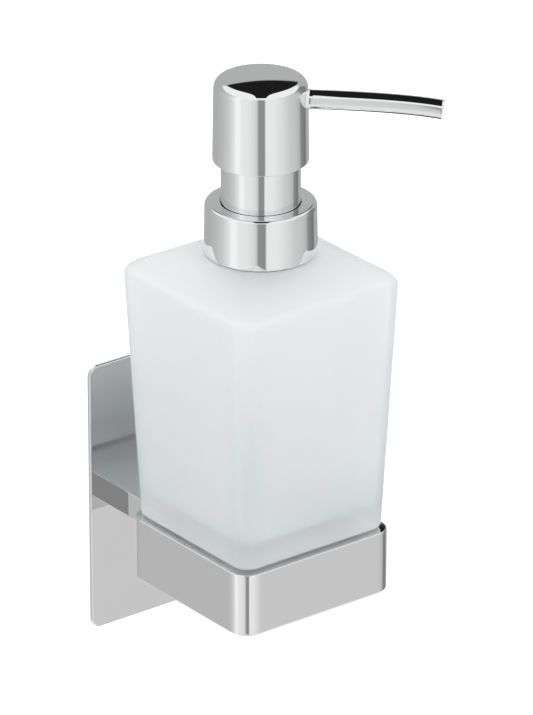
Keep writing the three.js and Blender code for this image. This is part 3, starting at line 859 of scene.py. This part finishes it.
class DISPENSER_OT_pump(Operator):
    """Makes the pump body: housing, gasket, chaplet, dip tube, return spring and inlet ball"""

    bl_idname = "dispenser.pump"
    bl_label = "Pump body"

    def execute(self, context):
        sizes = context.scene.dispenser.pump
        bore, outer, wall = sizes.bore, sizes.bore + 1 * MM, 1 * MM
        room = SEAM + sizes.tube_radius
        floor, rest = SPRING.bottom - SEAM, BALL.size.z / 2
        pocket = floor - 0.8 * MM
        seat = pocket - 2 * rest - 1.2 * MM - 2 * SEAM
        housing = turned([
            (room, HOUSING.bottom), (room + wall, HOUSING.bottom, SOFT), (room + wall, seat + wall, 1 * MM),
            (outer, floor, 0.6 * MM), (outer, HOUSING.top - 1.2 * MM, EASED),
            (HOUSING.radius, HOUSING.top - 1.2 * MM, FINE), (HOUSING.radius, HOUSING.top, FINE),
            (bore, HOUSING.top, SOFT), (bore, floor, EASED), (rest - 0.4 * MM, floor),
            (rest - 0.4 * MM, pocket), (rest + 0.4 * MM, pocket), (rest + 0.4 * MM, seat),
            (1.4 * MM, seat - 0.8 * MM), (1.4 * MM, seat - 1.8 * MM), (room, seat - 1.8 * MM),
        ])
        add_piece("pump_barrel", "pump_housing", housing)

        opening = context.scene.dispenser.bottle.neck_bore
        add_piece("gasket_washer", "neck_gasket", plain_ring(opening, GASKET.radius, GASKET))

        bore, plug, step = sizes.stem_radius + SEAM, sizes.bore - SEAM, HOUSING.top + SEAM
        ring = turned([
            (bore, CHAPLET.bottom, FINE), (plug, CHAPLET.bottom, SOFT), (plug, step),
            (CHAPLET.radius, step, FINE), (CHAPLET.radius, CHAPLET.top, ROUND),
            (bore, CHAPLET.top, EASED),
        ])
        add_piece("chaplet_ring", "chaplet", ring)

        tube = plain_ring(sizes.tube_radius - 0.6 * MM, sizes.tube_radius, DIP)
        add_piece("suction_tube", "dip_tube", tube)

        wire = sizes.wire / 2
        coil = coiled(
            SPRING.radius - wire, wire, SPRING.bottom + wire, SPRING.size.z - 2 * wire, sizes.spring_turns
        )
        spring = add_piece("coil_spring", "return_spring", coil)
        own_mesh(spring)

        ball = bmesh.new()
        bmesh.ops.create_uvsphere(ball, u_segments=40, v_segments=24, radius=BALL.size.z / 2)
        add_piece("valve_ball", "inlet_ball", ball, Matrix.Translation(BALL.middle))
        return {"FINISHED"}


class DISPENSER_OT_plunger(Operator):
    """Makes the plunger: the stem, its tip and the piston"""

    bl_idname = "dispenser.plunger"
    bl_label = "Plunger"

    def execute(self, context):
        sizes = context.scene.dispenser.pump
        bore, outer, stop = sizes.stem_bore, sizes.stem_radius, CHAPLET.bottom - SEAM
        stem = turned([
            (bore, STEM.bottom), (outer, STEM.bottom, SOFT), (outer, stop - 0.5 * MM),
            (STEM.radius, stop - 0.5 * MM), (STEM.radius, stop), (outer, stop), (outer, STEM.top, SOFT),
            (bore, STEM.top, FINE),
        ])
        add_piece("hollow_stem", "stem", stem)

        peg, neck, step = bore - SEAM, outer - SEAM, TIP.bottom + 1.2 * MM
        tip = turned([
            (0, TIP.bottom), (TIP.radius, TIP.bottom, FINE), (TIP.radius, step, FINE), (neck, step),
            (neck, STEM.bottom - SEAM, FINE), (peg, STEM.bottom - SEAM), (peg, TIP.top, EASED),
            (0, TIP.top),
        ], closed=False)
        add_piece("tip_plug", "stem_tip", tip)

        bore, lip = sizes.stem_radius + SEAM, sizes.bore - SEAM
        waist, low, high = lip - 0.9 * MM, PISTON.bottom, PISTON.top
        piston = turned([
            (bore, low), (lip, low, CRISP), (lip, low + 0.8 * MM, FINE), (waist, low + 1.6 * MM, EASED),
            (waist, high - 1.6 * MM, EASED), (lip, high - 0.8 * MM, FINE), (lip, high, CRISP),
            (bore, high),
        ])
        add_piece("lip_piston", "piston", piston)
        return {"FINISHED"}


# ---------------- head and spout


def spout_axis(sizes):
    """The spout's centreline from root to open end, as a function of a share from 0 to 1."""
    height = HEAD.top - sizes.spout_below
    root = Vector((sizes.spout_root, 0, height))
    bend = Vector((sizes.spout_bend, 0, height - sizes.bend_drop))
    end = Vector((sizes.spout_reach, 0, height - sizes.spout_drop))

    def at(share):
        return root.lerp(bend, share).lerp(bend.lerp(end, share), share)

    return at


def ring_at(axis, share, radius):
    """A ring about the spout's centreline."""
    ahead = axis(min(1, share) + 0.001) - axis(min(1, share) - 0.001)
    return facing(axis(share), ahead, Vector((0, 1, 0))), radius


class DISPENSER_OT_head(Operator):
    """Makes the head that is pressed, with its core, and the spout with its liner"""

    bl_idname = "dispenser.head"
    bl_label = "Head and spout"

    def execute(self, context):
        sizes, pump = context.scene.dispenser.head, context.scene.dispenser.pump
        wall, rim = pump.shell_wall, HEAD.top - sizes.crown
        dome = [
            (radius * MM, HEAD.top - sizes.crown * (radius * MM / sizes.top_radius) ** 2)
            for radius in range(0, 11, 2)
        ]
        shell = turned(
            dome
            + [
                (sizes.top_radius, rim, sizes.rounding),
                (sizes.bottom_radius, HEAD.bottom, 0.35 * MM),
                (sizes.bottom_radius - wall, HEAD.bottom, FINE),
                (sizes.top_radius - wall, rim - wall, sizes.rounding - wall),
                (0, HEAD.top - wall),
            ],
            closed=False,
        )
        add_piece("chrome_head", "head_shell", shell)

        bore, floor = pump.stem_radius + SEAM, STEM.top - 2.2 * MM
        socket = bore + 1.6 * MM
        core = turned([
            (0, STEM.top + SEAM), (bore, STEM.top + SEAM), (bore, CORE.bottom, FINE),
            (socket, CORE.bottom, SOFT), (socket, floor, 0.6 * MM), (CORE.radius, floor, EASED),
            (CORE.radius, CORE.top, 0.6 * MM), (0, CORE.top),
        ], closed=False)
        add_piece("head_insert", "head_core", core)

        turn = ON_AXIS @ Matrix.Rotation(sizes.spout_turned, 4, "Z")
        axis = spout_axis(sizes)
        self.make_spout(sizes, axis, turn)
        self.make_liner(sizes, axis, turn)
        return {"FINISHED"}

    def make_spout(self, sizes, axis, turn):
        outer, wall, flare = sizes.spout_radius, sizes.spout_wall, sizes.spout_flare
        face = sizes.top_radius - 0.2 * MM
        steps, lip = 64, 0.12 * MM
        rings = []
        for step in range(steps):
            share = (step / steps) ** 1.3
            clear = min(1, max(0, (axis(share).x - face) / (2 * flare)))
            swell = flare * (1 - (1 - (1 - clear) ** 2) ** 0.5)
            rings.append(ring_at(axis, share, outer + (swell if clear else flare)))
        rings += [
            ring_at(axis, 1 - 0.003, outer), ring_at(axis, 1 - 0.0008, outer - 0.3 * lip),
            ring_at(axis, 1, outer - lip), ring_at(axis, 1, outer - wall + lip),
            ring_at(axis, 1 - 0.002, outer - wall),
        ]
        rings += [ring_at(axis, 1 - (step + 1) / 24, outer - wall) for step in range(24)]
        add_piece("spout_pipe", "spout_tube", swept(rings, 56, closed=True), turn)

    def make_liner(self, sizes, axis, turn):
        outer = sizes.spout_radius - sizes.spout_wall - SEAM
        inner, last = outer - 0.8 * MM, 0.985
        shares = [last * step / 24 for step in range(25)]
        straight = axis(0) - Vector((2.5 * MM, 0, 0))
        start = facing(straight, Vector((1, 0, 0)), Vector((0, 1, 0)))
        rings = [(start, outer)] + [ring_at(axis, share, outer) for share in shares]
        rings += [ring_at(axis, share, inner) for share in reversed(shares)] + [(start, inner)]
        add_piece("liner_pipe", "spout_liner", swept(rings, 40, closed=True), turn)


# ---------------- studio

# Brightness of the room that the bright metal mirrors, by direction round the object in degrees. The
# camera stands at 0 and the view's right is positive: two tall light panels flank a darker camera side.
ROOM = (
    (-180, 0.47), (-133, 0.46), (-105, 0.53), (-83, 0.65), (-66, 0.86), (-62, 1.0), (-52, 1.0), (-47, 0.9),
    (-27, 0.86), (-14, 0.76), (-8, 0.62), (-5, 0.3), (9, 0.29), (12, 0.9), (32, 0.9), (55, 0.78),
    (74, 0.65), (92, 0.6), (106, 0.5), (112, 0.28), (134, 0.19), (142, 0.44), (180, 0.47),
)
OVERHEAD = 0.95  # the soft boxes above
GROUND = 0.85  # the pale table below
# A dark gap between the panels runs from the camera's side overhead and ends low behind the object. Its
# sides are components of a direction along the view's right, and its ends are angles up from behind.
GAP = {
    "left": -0.15, "right": 0.18, "front": radians(124), "back": radians(22.95), "taper": 5.5, "tip": 0.03,
    "level": 0.012,
}
# In line with the gap, the foot of the wall behind is dark between two angles below the horizon.
SHADE = {"low": radians(-75), "high": radians(-20), "level": 0.03}


def view_axes(studio):
    """Level directions towards the camera and to the view's right."""
    turn = studio.azimuth
    return Vector((sin(turn), -cos(turn), 0)), Vector((cos(turn), sin(turn), 0))


def world_level(tree, studio):
    """The mirrored room's brightness for each direction of the world, and the direction's rise."""
    toward, right = view_axes(studio)
    direction = add_node(tree, "TexCoord").outputs["Generated"]

    def along(axis):
        return add_node(tree, "VectorMath", {0: direction, 1: axis}, operation="DOT_PRODUCT").outputs[1]

    def edge(value, start, end):
        return ranged(tree, value, start, end, kind="SMOOTHSTEP")

    def product(first, second):
        return calculated(tree, "MULTIPLY", first, second)

    up, sideways = along(Vector((0, 0, 1))), along(right)
    share = ranged(tree, calculated(tree, "ARCTAN2", sideways, along(toward)), -pi, pi)
    level = ramped(tree, share, [((azimuth + 180) / 360, level) for azimuth, level in ROOM])
    level = mixed(tree, edge(up, -sin(radians(30)), -sin(radians(50))), level, GROUND)
    level = mixed(tree, edge(up, sin(radians(30)), sin(radians(38))), level, OVERHEAD)

    over = calculated(tree, "ARCTAN2", up, along(-toward))
    offset = calculated(tree, "SUBTRACT", sideways, GAP["tip"])
    start = calculated(tree, "SUBTRACT", over, product(product(offset, offset), GAP["taper"]))
    between = product(
        edge(sideways, GAP["left"] - 0.006, GAP["left"] + 0.006),
        edge(sideways, GAP["right"] + 0.006, GAP["right"] - 0.006),
    )
    gap = product(
        edge(start, GAP["back"], GAP["back"] + 0.012), edge(over, GAP["front"] + 0.06, GAP["front"] - 0.06)
    )
    shade = product(
        edge(over, SHADE["low"] - 0.1, SHADE["low"]), edge(over, SHADE["high"], SHADE["high"] - 0.05)
    )
    level = mixed(tree, product(shade, between), level, SHADE["level"])
    return mixed(tree, product(gap, between), level, GAP["level"]), up


class DISPENSER_OT_studio(Operator):
    """Sets the pale floor, the soft light and the camera"""

    bl_idname = "dispenser.studio"
    bl_label = "Studio"

    def execute(self, context):
        studio = context.scene.dispenser.studio
        self.add_floor(studio)
        self.add_world(context, studio)
        self.add_camera(context, studio)
        context.scene.view_settings.view_transform = "Standard"
        return {"FINISHED"}

    def add_floor(self, studio):
        shape = bmesh.new()
        bmesh.ops.create_grid(shape, x_segments=1, y_segments=1, size=8)
        level = PLATE.bottom - studio.floor_drop
        bmesh.ops.translate(shape, vec=(0, 0, level), verts=shape.verts)
        floor = put("floor", mesh_of("floor", shape))
        floor.visible_glossy = False
        tree, inputs, vector = new_finish("pale_floor", {"Roughness": 0.9, "Specular IOR Level": 0.1})
        skin = add_effect(tree, "Grain", {"Vector": vector, "Scale": 400, "Mottle scale": 6})
        tone = tint(tree, skin["Mottle"], scaled(studio.floor_colour, 0.99), studio.floor_colour)
        tree.links.new(tone, inputs["Base Color"])
        below = add_node(tree, "NewGeometry").outputs["Backfacing"]
        clear = add_node(tree, "BsdfTransparent").outputs["BSDF"]
        pale = tree.nodes["Principled BSDF"].outputs["BSDF"]
        mix = add_node(tree, "MixShader", {0: below, 1: pale, 2: clear})
        tree.links.new(mix.outputs["Shader"], tree.nodes["Material Output"].inputs["Surface"])
        floor.data.materials.append(MADE["pale_floor"])

    def add_world(self, context, studio):
        world = bpy.data.worlds.new("studio")
        context.scene.world = world
        world.use_nodes = True
        tree = world.node_tree
        room, up = world_level(tree, studio)
        rays = add_node(tree, "LightPath").outputs
        direct = calculated(tree, "SUBTRACT", 1, rays["Is Transmission Ray"])
        mirrored = calculated(tree, "MULTIPLY", rays["Is Glossy Ray"], direct)
        soft = ranged(tree, up, -1, 1, studio.soft_light * 0.85, studio.soft_light * 1.1)
        level = mixed(tree, mirrored, soft, room)
        level = mixed(tree, rays["Is Camera Ray"], level, studio.backdrop)
        tree.links.new(level, tree.nodes["Background"].inputs["Color"])

    def add_camera(self, context, studio):
        rise = studio.elevation
        toward, right = view_axes(studio)
        ahead = -toward * cos(rise) - Vector((0, 0, sin(rise)))
        up = -toward * sin(rise) + Vector((0, 0, cos(rise)))
        aim = RIM_CENTRE + right * studio.aim_right + up * studio.aim_up
        data = bpy.data.cameras.new("camera")
        data.lens, data.sensor_width = studio.lens, 36
        camera = put("camera", data)
        turned_to = Matrix((right, up, -ahead)).transposed().to_4x4()
        camera.matrix_world = Matrix.Translation(aim - ahead * studio.distance) @ turned_to
        context.scene.camera = camera


# ---------------- panel and registration


OPERATORS = (
    DISPENSER_OT_holder, DISPENSER_OT_bottle, DISPENSER_OT_closure, DISPENSER_OT_pump, DISPENSER_OT_plunger,
    DISPENSER_OT_head, DISPENSER_OT_studio,
)
SETTINGS = (HolderSizes, BottleSizes, PumpSizes, HeadSizes, Finishes, Studio, DispenserSettings)


class DISPENSER_PT_panel(Panel):
    """Lists the sizes and the steps that build the dispenser"""

    bl_label = "Soap Dispenser"
    bl_idname = "DISPENSER_PT_panel"
    bl_space_type = "VIEW_3D"
    bl_region_type = "UI"
    bl_category = "Dispenser"

    def draw(self, context):
        settings = context.scene.dispenser
        for section in DispenserSettings.__annotations__:
            group = getattr(settings, section)
            column = self.layout.box().column()
            for name in group.__annotations__:
                column.prop(group, name)
        for operator in OPERATORS:
            self.layout.operator(operator.bl_idname)


def register():
    for made in (*SETTINGS, *OPERATORS, DISPENSER_PT_panel):
        bpy.utils.register_class(made)
    bpy.types.Scene.dispenser = PointerProperty(type=DispenserSettings)


def unregister():
    del bpy.types.Scene.dispenser
    for made in reversed((*SETTINGS, *OPERATORS, DISPENSER_PT_panel)):
        bpy.utils.unregister_class(made)


def main():
    register()
    bpy.ops.dispenser.holder()
    bpy.ops.dispenser.bottle()
    bpy.ops.dispenser.closure()
    bpy.ops.dispenser.pump()
    bpy.ops.dispenser.plunger()
    bpy.ops.dispenser.head()
    bpy.ops.dispenser.studio()


if __name__ == "__main__":
    main()
